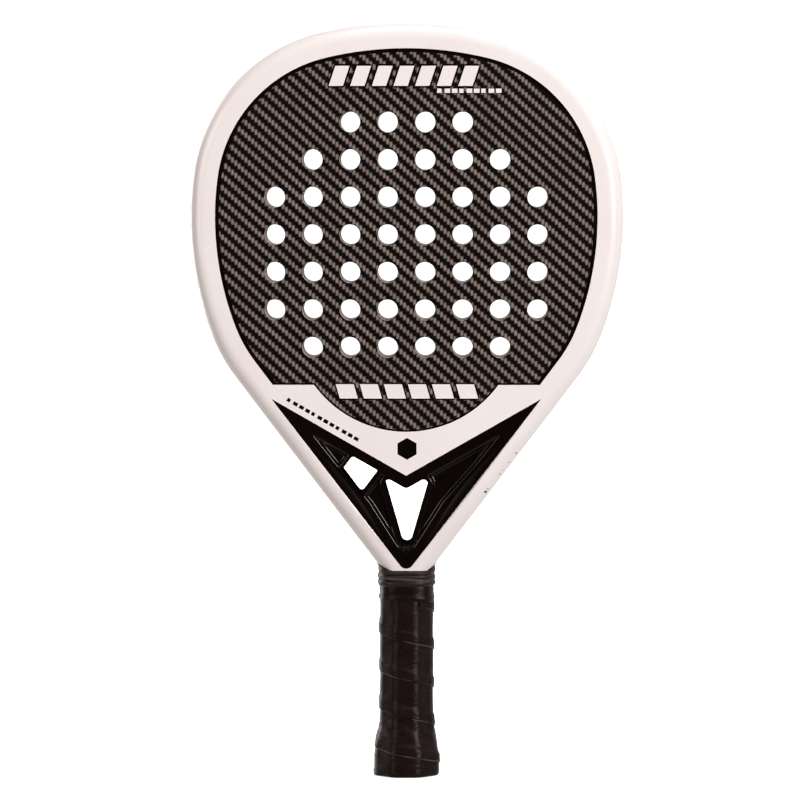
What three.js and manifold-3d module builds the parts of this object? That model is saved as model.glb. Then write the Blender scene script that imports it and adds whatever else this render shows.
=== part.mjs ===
// Padel racket: a drilled, foam-cored head inside a hollow tube frame, an open throat and a wound handle.
// Millimetres, +Z from the butt to the crown, front face towards -Y, origin at the middle of the butt end.

import * as THREE from 'three';
import { mergeVertices } from 'three/addons/utils/BufferGeometryUtils.js';
import Module from 'manifold-3d';

const wasm = await Module();
wasm.setup();

const radians = THREE.MathUtils.degToRad;

// ---------------------------------------------------------------- driving dimensions

// overall
const racketLength = 454;
const headAndThroatLength = 329.2; // from the crown to where the leg's outer side meets the neck
const headWidth = 260;
const racketThickness = 38;
const glueLine = 0.3; // adhesive film left between neighbouring pieces

// head outline: tangent arcs from the crown down to the leg, with the headings where one arc meets the next
const crownRadius = 222;
const flankRadius = 197;
const hipRadius = 97.6;
const crownEndHeading = radians(13.6);
const shoulderEndHeading = radians(82.5);
const flankEndHeading = radians(111.4);

// frame tube
const tubeWidth = 15.4;
const tubeWall = 1.8;
const edgeRadius = 8.5;
const neckStandOut = 1.6; // how far the neck is wider than the pallets below it, on each side
const neckLength = 14.8;
const neckFlareLean = radians(5.7); // how much further than the legs the handle's sides lean out above it
const neckFlareHeight = 28;
const taperHeight = 49.2; // over which the legs get thinner towards the neck
const neckTaper = 3.6; // how much thinner they get, on each face
const tubeEndAboveSkirt = 4;
const tubeGapHalfWidth = 2.2; // half the gap between the two tube ends in the handle

// faces, core and their holes
const faceThickness = 1.4;
const holeRadius = 6.2;
const holePitch = 22.5;
const crownToFirstRow = 59.4;
const crownToWidestDrilling = 138.1;
const drillingAboveChevron = 66;
const drillingInsideTube = 35; // from the tube's inner side to the furthest that a hole's middle may be
const drillingCorner = 34; // the drilled field's corners are cut off at 45 degrees beyond this height

// bridge bar, a V whose point looks down
const chevronAngle = radians(29.7);
const chevronAboveNeck = 57.7; // the faces' lower edge at the middle
const barAboveEdge = 9.4;
const barBelowEdge = 4;

// throat web and its windows
const webRecess = 5.5;
const windowStrut = 1.6; // between the top corners of the two windows, before rounding
const sideWindowReach = 0.403; // of the way along the top edge from its inner corner to the leg
const sideWindowLip = 1.7;
const sideWindowRadius = 1.8;
const centreWindowLip = 2.9;
const centreWindowHalfWidth = 14.7; // at its unrounded top corners
const centreWindowFootWall = 6.7; // from the web's foot up to the window's
const centreWindowTopRadius = 2.6;
const centreWindowFootRadius = 3.3;

// handle, measured from the middle to its side flats; its front and back flats are deeper by handleDepthRatio
const handleDepthRatio = 1.1;
const palletHalfWidth = 12.9;
const palletWall = 1.6;
const palletBottom = 8;
const tackBelowSkirtTop = 6;
const tackRadius = 0.8;
const tackLength = 6;
const tackHeadRadius = 1.7;
const tackHeadThickness = 0.6;

// butt cap
const capWall = 1.1;
const capSkirtTop = 36;
const capEndThickness = 3;
const cordHoleRadius = 4;
const flareRun = [[0, 0], [9, 0.9], [15.5, 2.4], [21.5, 3.1], [28, 3.6]]; // below skirt top, extra half-width
const capEndChamfer = 1;
const cordHoleSteps = 16;

// grips, tape and collar
const baseGripThickness = 1.7;
const baseGripBottom = 2.2;
const overgripThickness = 0.8;
const overgripBottom = 0.6;
const overgripEndChamfer = 0.6;
const gripBelowNeck = 1;
const tapeThickness = 0.9;
const tapeOverGrip = 4.5;
const tapeOverNeck = 4.6;
const collarStandOut = 0.1; // how far its ridges stand out past the tape
const collarEarRise = 3.6;
const collarFlatHalfWidth = 11; // the straight middle of its top edge
const collarRidges = 3;
const collarGroove = 0.5;

// facets
const arcSteps = 9; // per head arc
const edgeSteps = 3; // round the tube's outer edge
const holeSteps = 12;
const filletSteps = 4;

// ---------------------------------------------------------------- helpers

/** A closed surface as a solid, with the collapsed triangles on a turned form's axis left out. */
function solidFrom(geometry) {
  const bare = geometry.clone();
  bare.deleteAttribute('normal');
  bare.deleteAttribute('uv');
  const merged = mergeVertices(bare);
  const index = merged.index.array;
  const kept = [];
  for (let i = 0; i < index.length; i += 3) {
    const [a, b, c] = index.slice(i, i + 3);
    if (a !== b && b !== c && c !== a) kept.push(a, b, c);
  }
  return new wasm.Manifold(new wasm.Mesh({
    numProp: 3,
    vertProperties: new Float32Array(merged.attributes.position.array),
    triVerts: new Uint32Array(kept),
  }));
}

/** A solid's surface, with flat facets. */
function geometryFrom(solid) {
  const mesh = solid.getMesh();
  const geometry = new THREE.BufferGeometry();
  geometry.setAttribute('position', new THREE.BufferAttribute(new Float32Array(mesh.vertProperties), 3));
  geometry.setIndex(new THREE.BufferAttribute(new Uint32Array(mesh.triVerts), 1));
  const flat = geometry.toNonIndexed();
  flat.computeVertexNormals();
  return flat;
}

/** Turns a geometry drawn in the XY plane upright: its Y becomes height and its depth runs front to back. */
function upright(geometry) {
  return geometry.rotateX(Math.PI / 2);
}

/** A plate with the given outline in X and Z, between two depths in Y. */
function plate(points, front, back) {
  const run = { depth: back - front, bevelEnabled: false };
  const geometry = new THREE.ExtrudeGeometry(new THREE.Shape(points), run);
  return solidFrom(upright(geometry.translate(0, 0, -back)));
}

/** The same, centred on the middle plane, with its edges rounded. */
function roundedPlate(points, halfDepth, radius) {
  const geometry = new THREE.ExtrudeGeometry(new THREE.Shape(points), {
    depth: 2 * (halfDepth - radius),
    bevelThickness: radius,
    bevelSize: radius,
    bevelOffset: -radius,
    bevelSegments: edgeSteps,
  });
  return solidFrom(upright(geometry.translate(0, 0, radius - halfDepth)));
}

/** A plate with the given outline in depth and height, wide enough to cross the whole head. */
function sidePlate(points) {
  const run = { depth: 2 * headWidth, bevelEnabled: false };
  const geometry = new THREE.ExtrudeGeometry(new THREE.Shape(points), run);
  geometry.translate(0, 0, -headWidth).rotateX(Math.PI / 2).rotateZ(Math.PI / 2);
  return solidFrom(geometry);
}

/** An eight-sided form with flats at the sides, front and back, from a profile of half-widths and heights. */
function eightSided(profile) {
  const points = profile.map(([halfWidth, height]) => new THREE.Vector2(halfWidth, height));
  const geometry = new THREE.LatheGeometry(points, 8, Math.PI / 8);
  const cornerReach = 1 / Math.cos(Math.PI / 8);
  upright(geometry).scale(cornerReach, cornerReach * handleDepthRatio, 1);
  return solidFrom(geometry);
}

/** A solid eight-sided bar with a stepped or flared side. */
function eightSidedBar(side) {
  const bottom = side[0][1];
  const top = side[side.length - 1][1];
  return eightSided([[0, bottom], ...side, [0, top]]);
}

/** An eight-sided sleeve between an inner and an outer side, both listed from bottom to top. */
function eightSidedSleeve(inner, outer) {
  return eightSidedBar(outer).subtract(eightSidedBar(inner));
}

/** A round pin along Y from the given depth towards the back. */
function pinAlongDepth(radius, x, z, from, to, steps) {
  const geometry = new THREE.CylinderGeometry(radius, radius, to - from, steps);
  return solidFrom(geometry.translate(0, (from + to) / 2, 0)).translate([x, 0, z]);
}

/** The corners of a closed outline replaced by arcs. Each corner is [x, z, radius]. */
function filleted(corners) {
  const points = [];
  corners.forEach(([x, z, radius], i) => {
    const corner = new THREE.Vector2(x, z);
    const [px, pz] = corners[(i + corners.length - 1) % corners.length];
    const [nx, nz] = corners[(i + 1) % corners.length];
    const toPrevious = new THREE.Vector2(px, pz).sub(corner).normalize();
    const toNext = new THREE.Vector2(nx, nz).sub(corner).normalize();
    const halfAngle = Math.acos(toPrevious.dot(toNext)) / 2;
    const bisector = toPrevious.clone().add(toNext).normalize();
    const centre = corner.clone().addScaledVector(bisector, radius / Math.sin(halfAngle));
    const start = corner.clone().addScaledVector(toPrevious, radius / Math.tan(halfAngle)).sub(centre);
    const end = corner.clone().addScaledVector(toNext, radius / Math.tan(halfAngle)).sub(centre);
    const turn = Math.atan2(start.cross(end), start.dot(end));
    for (let k = 0; k <= filletSteps; k++) {
      points.push(start.clone().rotateAround(new THREE.Vector2(), turn * k / filletSteps).add(centre));
    }
  });
  return points;
}

/** Where two lines in X and Z cross; each line is a point and a direction. */
function crossing(pointA, alongA, pointB, alongB) {
  const apart = pointB.clone().sub(pointA);
  return pointA.clone().addScaledVector(alongA, apart.cross(alongB) / alongA.cross(alongB));
}

// ---------------------------------------------------------------- sizes that follow from those above

const halfThickness = racketThickness / 2;
const neckHeight = racketLength - headAndThroatLength;
const neckFoot = neckHeight - neckLength;
const neckHalfWidth = palletHalfWidth + neckStandOut;
const neckHalfDepth = halfThickness - neckTaper;
const chevronHeight = neckHeight + chevronAboveNeck;
const webHalfDepth = halfThickness - webRecess;
const tubeEndHeight = capSkirtTop + tubeEndAboveSkirt;
const tubeHandleHalfWidth = palletHalfWidth - palletWall - glueLine;
const gripTop = neckFoot - gripBelowNeck;

// ---------------------------------------------------------------- head outline

const outward = (heading) => new THREE.Vector2(Math.sin(heading), Math.cos(heading));

/** The head's arcs from the crown down and the heading of the leg, which runs straight on to the neck. */
function headArcs() {
  const sinCrown = Math.sin(crownEndHeading);
  const sinShoulder = Math.sin(shoulderEndHeading);
  const shoulderRadius =
    (headWidth / 2 - crownRadius * sinCrown - flankRadius * (1 - sinShoulder)) / (sinShoulder - sinCrown);
  const crownCentre = new THREE.Vector2(0, racketLength - crownRadius);
  const shoulderCentre = crownCentre.clone()
    .addScaledVector(outward(crownEndHeading), crownRadius - shoulderRadius);
  const flankCentre = shoulderCentre.clone()
    .addScaledVector(outward(shoulderEndHeading), shoulderRadius - flankRadius);
  const hipCentre = flankCentre.clone()
    .addScaledVector(outward(flankEndHeading), flankRadius - hipRadius);

  const toNeck = new THREE.Vector2(neckHalfWidth, neckHeight).sub(hipCentre);
  const neckHeading = Math.PI + Math.atan2(-toNeck.x, -toNeck.y);
  const legHeading = neckHeading - Math.acos(hipRadius / toNeck.length());
  const arcs = [
    { centre: crownCentre, radius: crownRadius, from: 0, to: crownEndHeading },
    { centre: shoulderCentre, radius: shoulderRadius, from: crownEndHeading, to: shoulderEndHeading },
    { centre: flankCentre, radius: flankRadius, from: shoulderEndHeading, to: flankEndHeading },
    { centre: hipCentre, radius: hipRadius, from: flankEndHeading, to: legHeading },
  ];
  return { arcs, legHeading };
}

const { arcs, legHeading } = headArcs();
const legDirection = new THREE.Vector2(Math.cos(legHeading), -Math.sin(legHeading));
const legLean = legHeading - Math.PI / 2;

/** The point of the leg's side, inset from its outer side, at a distance from the middle. */
function legPointAt(inset, halfWidth) {
  const hip = arcs[arcs.length - 1];
  const start = hip.centre.clone().addScaledVector(outward(legHeading), hip.radius - inset);
  return start.addScaledVector(legDirection, (halfWidth - start.x) / legDirection.x);
}

/** The closed outline, inset from the racket's own, with a straight stem of the given half-width and foot. */
function outline(inset, stemHalfWidth, foot) {
  const right = [];
  arcs.forEach(({ centre, radius, from, to }) => {
    const first = right.length === 0 ? 0 : 1;
    for (let k = first; k <= arcSteps; k++) {
      const heading = from + (to - from) * k / arcSteps;
      right.push(centre.clone().addScaledVector(outward(heading), radius - inset));
    }
  });
  right.push(legPointAt(inset, stemHalfWidth));
  right.push(new THREE.Vector2(stemHalfWidth, foot));
  const left = right.slice(1).reverse().map((p) => new THREE.Vector2(-p.x, p.y));
  return [...right, ...left];
}

/** A V across the racket: everything above (or below) the chevron raised by a perpendicular distance. */
function chevronSide(raised, above) {
  const middle = chevronHeight + raised / Math.cos(chevronAngle);
  const reach = headWidth;
  const end = middle + reach * Math.tan(chevronAngle);
  const far = above ? 2 * racketLength : -racketLength;
  const points = [[-reach, end], [0, middle], [reach, end], [reach, far], [-reach, far]];
  return plate(points.map(([x, z]) => new THREE.Vector2(x, z)), -racketThickness, racketThickness);
}

// ---------------------------------------------------------------- frame

/** The racket's moulded outer form, inset everywhere by the same amount, down to the given foot. */
function frameForm(inset, foot) {
  const belowFoot = foot - 2 * edgeRadius; // leaves the tube ends square
  const body = roundedPlate(
    outline(inset, neckHalfWidth - inset, belowFoot), halfThickness - inset, edgeRadius - inset);
  const head = halfThickness - inset;
  const neck = neckHalfDepth - inset;
  const top = racketLength + 1;
  const taperTop = neckHeight + taperHeight;
  const side = sidePlate([
    [-head, top], [-head, taperTop], [-neck, neckHeight], [-neck, foot],
    [neck, foot], [neck, neckHeight], [head, taperTop], [head, top],
  ].map(([y, z]) => new THREE.Vector2(y, z)));
  const shoulder = neckFoot + inset;
  const flareFoot = neckHeight - glueLine;
  const flareTop = flareFoot + neckFlareHeight;
  const flareReach = neckFlareHeight * Math.tan(legLean + neckFlareLean);
  const aboveNeck = plate([
    [-headWidth, flareTop - 1], [headWidth, flareTop - 1], [headWidth, top], [-headWidth, top],
  ].map(([x, z]) => new THREE.Vector2(x, z)), -racketThickness, racketThickness);
  const eightSides = eightSidedBar([
    [tubeHandleHalfWidth - inset, foot], [tubeHandleHalfWidth - inset, shoulder],
    [neckHalfWidth - inset, shoulder], [neckHalfWidth - inset, flareFoot],
    [neckHalfWidth - inset + flareReach, flareTop],
  ]);
  return body.intersect(side).intersect(aboveNeck.add(eightSides));
}

/** What the frame surrounds: the head, the throat and the gap between the tube ends, grown by a distance. */
function insideFrame(grown, foot) {
  return plate(
    outline(tubeWidth - grown, tubeGapHalfWidth + grown, foot), -racketThickness, racketThickness);
}

function frameTube() {
  const open = tubeEndHeight - 5;
  const hollow = frameForm(tubeWall, open).subtract(insideFrame(tubeWall, open - 1));
  return frameForm(0, tubeEndHeight).subtract(insideFrame(0, open)).subtract(hollow);
}

// ---------------------------------------------------------------- head

/** All the holes, as round pins through the head, in an upright grid with the field's corners cut off. */
function holes() {
  const pins = [];
  const firstRow = racketLength - crownToFirstRow;
  const lowest = chevronHeight + drillingAboveChevron;
  const widest = racketLength - crownToWidestDrilling;
  const fieldHalfWidth = headWidth / 2 - tubeWidth - drillingInsideTube;
  for (let z = firstRow; z >= lowest; z -= holePitch) {
    const cutOff = Math.max(0, Math.abs(z - widest) - drillingCorner);
    const onEachSide = Math.floor((fieldHalfWidth - cutOff) / holePitch + 0.5);
    for (let column = -onEachSide; column < onEachSide; column++) {
      const x = (column + 0.5) * holePitch;
      pins.push(pinAlongDepth(holeRadius, x, z, -racketThickness, racketThickness, holeSteps));
    }
  }
  return wasm.Manifold.union(pins);
}

const throughHoles = holes();
const headPlan = outline(tubeWidth + glueLine, tubeGapHalfWidth, tubeEndHeight);
const coreHalfDepth = halfThickness - faceThickness - glueLine;

function face(front, back) {
  return plate(headPlan, front, back).intersect(chevronSide(0, true)).subtract(throughHoles);
}

function evaCore() {
  return plate(headPlan, -coreHalfDepth, coreHalfDepth)
    .intersect(chevronSide(barAboveEdge + glueLine, true))
    .subtract(throughHoles);
}

// ---------------------------------------------------------------- throat

function bridgeBar() {
  const band = plate(headPlan, -halfThickness, halfThickness)
    .intersect(chevronSide(barAboveEdge, false))
    .intersect(chevronSide(-barBelowEdge, true));
  const underFaces = plate(headPlan, -coreHalfDepth, coreHalfDepth);
  const belowFaces = chevronSide(-glueLine, false);
  return band.intersect(underFaces.add(belowFaces));
}

/** The side window: its top follows the bar, its foot the leg, and its two sides the other leg. */
function sideWindow() {
  const alongTop = new THREE.Vector2(-Math.cos(chevronAngle), Math.sin(chevronAngle));
  const alongOtherLeg = legDirection.clone();
  const alongLeg = new THREE.Vector2(-legDirection.x, legDirection.y);
  const dip = chevronHeight - (barBelowEdge + sideWindowLip) / Math.cos(chevronAngle);
  const onLeg = legPointAt(tubeWidth + sideWindowLip, 0);
  const fromMiddle = centreWindowHalfWidth + windowStrut;
  const inner = new THREE.Vector2(-fromMiddle, dip + fromMiddle * Math.tan(chevronAngle));
  const whereTopMeetsLeg = crossing(inner, alongTop, onLeg, alongLeg);
  const outer = inner.clone().lerp(whereTopMeetsLeg, sideWindowReach);
  const innerFoot = crossing(inner, alongOtherLeg, onLeg, alongLeg);
  const outerFoot = crossing(outer, alongOtherLeg, onLeg, alongLeg);
  return [outer, inner, innerFoot, outerFoot].map((p) => [p.x, p.y, sideWindowRadius]);
}

/** The centre window: a V notch along the top, and two sides that close towards a round foot. */
function centreWindow() {
  const dip = chevronHeight - (barBelowEdge + centreWindowLip) / Math.cos(chevronAngle);
  const corner = dip + centreWindowHalfWidth * Math.tan(chevronAngle);
  const footCentre = webFoot + centreWindowFootWall + centreWindowFootRadius;
  const toCorner = new THREE.Vector2(centreWindowHalfWidth, corner - footCentre);
  const lean = Math.atan2(toCorner.x, toCorner.y) - Math.asin(centreWindowFootRadius / toCorner.length());
  const foot = corner - centreWindowHalfWidth / Math.tan(lean);
  return [
    [0, dip, centreWindowFootRadius],
    [centreWindowHalfWidth, corner, centreWindowTopRadius],
    [0, foot, centreWindowFootRadius],
    [-centreWindowHalfWidth, corner, centreWindowTopRadius],
  ];
}

const webPlan = outline(tubeWidth + glueLine, tubeGapHalfWidth - glueLine, tubeEndHeight);
const webFoot = legPointAt(tubeWidth + glueLine, tubeGapHalfWidth - glueLine).y;

function throatWeb() {
  const through = (corners) => plate(filleted(corners), -racketThickness, racketThickness);
  return plate(webPlan, -webHalfDepth, webHalfDepth)
    .intersect(chevronSide(-barBelowEdge - glueLine, false))
    .trimByPlane([0, 0, 1], webFoot)
    .subtract(through(sideWindow()))
    .subtract(through(centreWindow()));
}

// ---------------------------------------------------------------- handle

function handleFiller() {
  const strip = plate(webPlan, -racketThickness, racketThickness)
    .trimByPlane([0, 0, -1], glueLine - webFoot);
  return strip.intersect(frameForm(0, tubeEndHeight));
}

const flare = flareRun.map(([below, extra]) => [capSkirtTop - below, extra]).reverse();

/** Half-width of the flared cap and of what is wound over it, as a side from bottom to top. */
function flaredSide(halfWidth, bottom, top) {
  const run = flare.filter(([height]) => height > bottom && height < top);
  const side = run.map(([height, extra]) => [halfWidth + extra, height]);
  return [[halfWidth + flare[0][1], bottom], ...side, [halfWidth, top]];
}

const capSkirtInside = palletHalfWidth - capWall;
const tackHeight = capSkirtTop - tackBelowSkirtTop;

/** Both pallets in one: round the tube ends above, solid below them, and stepped in for the cap's skirt. */
function palletBody() {
  const inSkirt = capSkirtInside - glueLine;
  const rebateTop = capSkirtTop + glueLine;
  const bar = eightSidedBar([
    [inSkirt, palletBottom], [inSkirt, rebateTop],
    [palletHalfWidth, rebateTop], [palletHalfWidth, neckFoot - glueLine],
  ]);
  return bar
    .subtract(frameForm(-glueLine, tubeEndHeight - glueLine))
    .subtract(tack(glueLine, -1))
    .subtract(tack(glueLine, 1));
}

function pallet(side) {
  return palletBody().trimByPlane([0, side, 0], glueLine / 2);
}

/** A tack driven in from the front (side -1) or the back (side 1), or its hole when grown. */
function tack(grown, side) {
  const [[startBelow], [nextBelow, nextExtra]] = flareRun;
  const down = (tackBelowSkirtTop - tackHeadRadius - startBelow) / (nextBelow - startBelow);
  const capAtHead = palletHalfWidth + nextExtra * down;
  const outer = capAtHead * handleDepthRatio - glueLine;
  const at = (depth) => (side < 0 ? -depth : depth);
  const cylinder = (radius, near, far) => {
    const [from, to] = [at(near), at(far)].sort((a, b) => a - b);
    return pinAlongDepth(radius, 0, tackHeight, from, to, holeSteps);
  };
  const head = cylinder(tackHeadRadius + grown, outer - tackHeadThickness - grown, outer + 2 * grown);
  return head.add(cylinder(tackRadius + grown, outer - tackLength - grown, outer - tackHeadThickness / 2));
}

function buttCap() {
  const side = flaredSide(palletHalfWidth, 0, capSkirtTop);
  const [foot, ...rest] = side;
  const depth = 4 * capEndThickness;
  const cordHole = new THREE.CylinderGeometry(cordHoleRadius, cordHoleRadius, depth, cordHoleSteps);
  return eightSidedBar([[foot[0] - capEndChamfer, 0], [foot[0], capEndChamfer], ...rest])
    .subtract(eightSidedBar([[capSkirtInside, capEndThickness], [capSkirtInside, capSkirtTop + 1]]))
    .subtract(solidFrom(upright(cordHole)))
    .subtract(tack(glueLine, -1))
    .subtract(tack(glueLine, 1));
}

/** A grip wound over the handle and the cap's flare. */
function gripSleeve(insideHalfWidth, thickness, bottom, chamfer) {
  const inner = flaredSide(insideHalfWidth, bottom, gripTop);
  const [foot, ...rest] = flaredSide(insideHalfWidth + thickness, bottom, gripTop);
  const outer = [[foot[0] - chamfer, bottom], [foot[0], bottom + chamfer], ...rest];
  return eightSidedSleeve(inner, chamfer > 0 ? outer : [foot, ...rest]);
}

const baseGripInside = palletHalfWidth + glueLine;
const overgripInside = baseGripInside + baseGripThickness + glueLine;
const tapeInside = overgripInside + overgripThickness + glueLine;
const tapeOutside = tapeInside + tapeThickness;
const tapeBottom = gripTop - tapeOverGrip;
const tapeTop = neckFoot + tapeOverNeck;

function finishingTape() {
  return eightSidedSleeve(
    [[tapeInside, tapeBottom], [tapeInside, tapeTop]], [[tapeOutside, tapeBottom], [tapeOutside, tapeTop]]);
}

/** The rubber band round the neck: ridged, and drawn up to a point at each side along the legs. */
function neckCollar() {
  const bottom = tapeTop + glueLine;
  const collarTop = neckHeight;
  const collarHalfWidth = tapeOutside + collarStandOut;
  const ridgeHeight = (collarTop - bottom) / collarRidges;
  const side = [];
  for (let i = 0; i < collarRidges; i++) {
    side.push([collarHalfWidth - collarGroove, bottom + i * ridgeHeight]);
    side.push([collarHalfWidth, bottom + (i + 0.5) * ridgeHeight]);
  }
  side.push([collarHalfWidth - collarGroove, collarTop], [collarHalfWidth, collarTop + collarEarRise]);
  const above = plate([
    [-collarFlatHalfWidth, collarTop], [collarFlatHalfWidth, collarTop],
    [collarHalfWidth, collarTop + collarEarRise], [headWidth, collarTop + collarEarRise],
    [headWidth, racketLength], [-headWidth, racketLength],
    [-headWidth, collarTop + collarEarRise], [-collarHalfWidth, collarTop + collarEarRise],
  ].map(([x, z]) => new THREE.Vector2(x, z)), -racketThickness, racketThickness);
  return eightSidedBar(side).subtract(above).subtract(frameForm(-glueLine, bottom - 1));
}

// ---------------------------------------------------------------- the racket

const whitePaint = new THREE.MeshStandardMaterial({ color: 0xf1ebe8, roughness: 0.25 });
const carbonWeave = new THREE.MeshStandardMaterial({ color: 0x3a3431, roughness: 0.3 });
const foam = new THREE.MeshStandardMaterial({ color: 0xd8d2c8, roughness: 0.8 });
const handleFoam = new THREE.MeshStandardMaterial({ color: 0xc9b58c, roughness: 0.85 });
const blackGloss = new THREE.MeshStandardMaterial({ color: 0x0b0908, roughness: 0.15 });
const blackPlastic = new THREE.MeshStandardMaterial({ color: 0x171514, roughness: 0.5 });
const cushion = new THREE.MeshStandardMaterial({ color: 0x26211f, roughness: 0.8 });
const wornGrip = new THREE.MeshStandardMaterial({ color: 0x1e1817, roughness: 0.45 });
const satinTape = new THREE.MeshStandardMaterial({ color: 0x141010, roughness: 0.35 });
const rubber = new THREE.MeshStandardMaterial({ color: 0x181312, roughness: 0.5 });
const steel = new THREE.MeshStandardMaterial({ color: 0xb4b4b2, roughness: 0.35, metalness: 1 });

const racket = new THREE.Group();

function add(name, solid, material) {
  const mesh = new THREE.Mesh(geometryFrom(solid), material);
  mesh.name = name;
  racket.add(mesh);
}

add('frame_tube', frameTube(), whitePaint);
add('front_face', face(-halfThickness, faceThickness - halfThickness), carbonWeave);
add('back_face', face(halfThickness - faceThickness, halfThickness), carbonWeave);
add('eva_core', evaCore(), foam);
add('bridge_bar', bridgeBar(), blackGloss);
add('throat_web', throatWeb(), blackGloss);
add('handle_filler', handleFiller(), handleFoam);
add('handle_pallet_front', pallet(-1), handleFoam);
add('handle_pallet_back', pallet(1), handleFoam);
add('butt_cap', buttCap(), blackPlastic);
add('butt_cap_tack_front', tack(0, -1), steel);
add('butt_cap_tack_back', tack(0, 1), steel);
add('base_grip', gripSleeve(baseGripInside, baseGripThickness, baseGripBottom, 0), cushion);
add('overgrip', gripSleeve(overgripInside, overgripThickness, overgripBottom, overgripEndChamfer), wornGrip);
add('finishing_tape', finishingTape(), satinTape);
add('neck_collar', neckCollar(), rubber);

export default racket;
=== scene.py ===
"""A padel racket: fine shells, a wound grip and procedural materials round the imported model.

Shapes are worked out in millimetres and made into meshes in metres. Flat plans are in X and Z.
"""

import math

import bpy
import numpy as np
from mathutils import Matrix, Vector
from mathutils.geometry import delaunay_2d_cdt


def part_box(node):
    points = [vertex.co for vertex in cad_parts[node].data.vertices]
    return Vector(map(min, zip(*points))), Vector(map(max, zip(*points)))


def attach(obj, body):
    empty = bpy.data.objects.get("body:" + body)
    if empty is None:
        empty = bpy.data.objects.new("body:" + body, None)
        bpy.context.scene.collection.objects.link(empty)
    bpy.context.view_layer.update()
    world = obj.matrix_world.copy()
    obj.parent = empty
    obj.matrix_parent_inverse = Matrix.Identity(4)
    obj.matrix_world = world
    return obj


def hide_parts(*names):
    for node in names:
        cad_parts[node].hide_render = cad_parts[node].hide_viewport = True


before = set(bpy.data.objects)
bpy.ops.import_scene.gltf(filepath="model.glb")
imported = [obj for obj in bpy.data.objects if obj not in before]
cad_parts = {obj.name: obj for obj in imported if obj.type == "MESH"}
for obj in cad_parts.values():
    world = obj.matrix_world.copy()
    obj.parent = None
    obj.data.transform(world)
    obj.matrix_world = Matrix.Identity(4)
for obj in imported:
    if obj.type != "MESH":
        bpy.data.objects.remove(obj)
scene = bpy.context.scene
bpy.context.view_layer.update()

MM = 0.001

# ------------------------ sizes, in millimetres

tube_low, tube_high = [np.array(corner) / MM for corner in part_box("frame_tube")]
LENGTH = tube_high[2]
HEAD_HALF_WIDTH = tube_high[0]
HALF_THICKNESS = tube_high[1]
NECK_HEIGHT = 124.8
NECK_FOOT = 110.0
NECK_HALF_WIDTH = 14.5
STEM_FOOT = tube_low[2]
STEM_HALF_WIDTH = 11.0
STEM_SLOT = 2.2  # half the slot between the tube's two ends
STEM_LEDGE = NECK_FOOT - 0.6  # where the neck steps down to the stem
SLOT_TOP = STEM_LEDGE - 1
GLUE = 0.3  # round the filler in the slot
GAP = 0.03  # between the frame, faces, core, bar and web, too small to see

CROWN_RADIUS = 222.0
FLANK_RADIUS = 197.0
HIP_RADIUS = 97.6
CROWN_END = math.radians(13.6)
SHOULDER_END = math.radians(82.5)
FLANK_END = math.radians(111.4)

EDGE_RADIUS = 8.5
TUBE_WIDTH = 15.4
BORDER = TUBE_WIDTH + GAP  # depth inside the outline where the faces, core, bar and web start
TAPER_HEIGHT = 49.2
NECK_TAPER = 3.6

FACE_THICKNESS = 1.4
CORE_HALF_DEPTH = HALF_THICKNESS - FACE_THICKNESS - GAP
HOLE_RADIUS = 6.2
HOLE_PITCH = 22.5
HOLE_BEVEL = 0.3
FIRST_ROW = LENGTH - 59.4
HOLES_PER_ROW = (4, 6, 8, 8, 8, 8, 6)

CHEVRON_ANGLE = math.radians(29.7)
CHEVRON_HEIGHT = 182.5
BAR_ABOVE_EDGE = 9.4
BAR_BELOW_EDGE = 4.0

# painted lines
BORDER_LINE = 2.3  # black line round the weave, along the head's sides
PANEL_LINE = 1.1  # the same along the panel's lower edge
PANEL_FOOT = 237.1
CHIN_RADIUS = 68.3
CHIN_DROP = 28.2  # of the chin's lowest point below the panel's foot
CHIN_CENTRE = PANEL_FOOT - CHIN_DROP + CHIN_RADIUS
LEG_PAINT = 10.6  # width of the white along each leg, at its foot
LEG_PAINT_TOP = 9.65  # and at the black's outer tip
TIP_RADIUS = 4.5

# throat
# flush rim along the leg: height, and how deep in the leg the rim ends
RIM = ((131.0, 21.0), (138.5, 15.9), (167.0, 18.8), (190.0, 16.5), (222.0, 15.7))
BAR_RIM = 6.2
CREASE = 2.2  # run of the rounded step from rims and lips down to the floor
STEP_LINES = (0.0, 0.14, 0.3, 0.5, 0.7, 0.86, 1.0)
WEB_RECESS = 2.5
FLOOR_SAG = 0.9
CENTRE_LIP = 2.3
SIDE_LIP = 1.9

# handle
DEPTH_RATIO = 1.1  # front and back flats against the side flats
GRIP_TOP = 109.0
GRIP_BOTTOM = 0.2
GRIP_HALF_WIDTH = 16.4
BASE_GRIP_HALF_WIDTH = 14.9
CORNER_RADIUS = 7.5
FLARE = ((8.0, 3.6), (14.5, 3.1), (20.5, 2.4), (27.0, 0.9), (36.0, 0.0))  # height, extra half-width
PITCH = 23.0
STRIP_WIDTH = 28.0
STRIP_THICKNESS = 0.7
FIRST_WIDTH = 6.0  # of the overgrip left at its trimmed start and end
COLLAR_HALF_WIDTH = 17.5


# ------------------------ the racket's outline


def outward(heading):
    """Unit vector at a heading that turns from straight up towards +X."""
    return np.array([math.sin(heading), math.cos(heading)])


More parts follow.
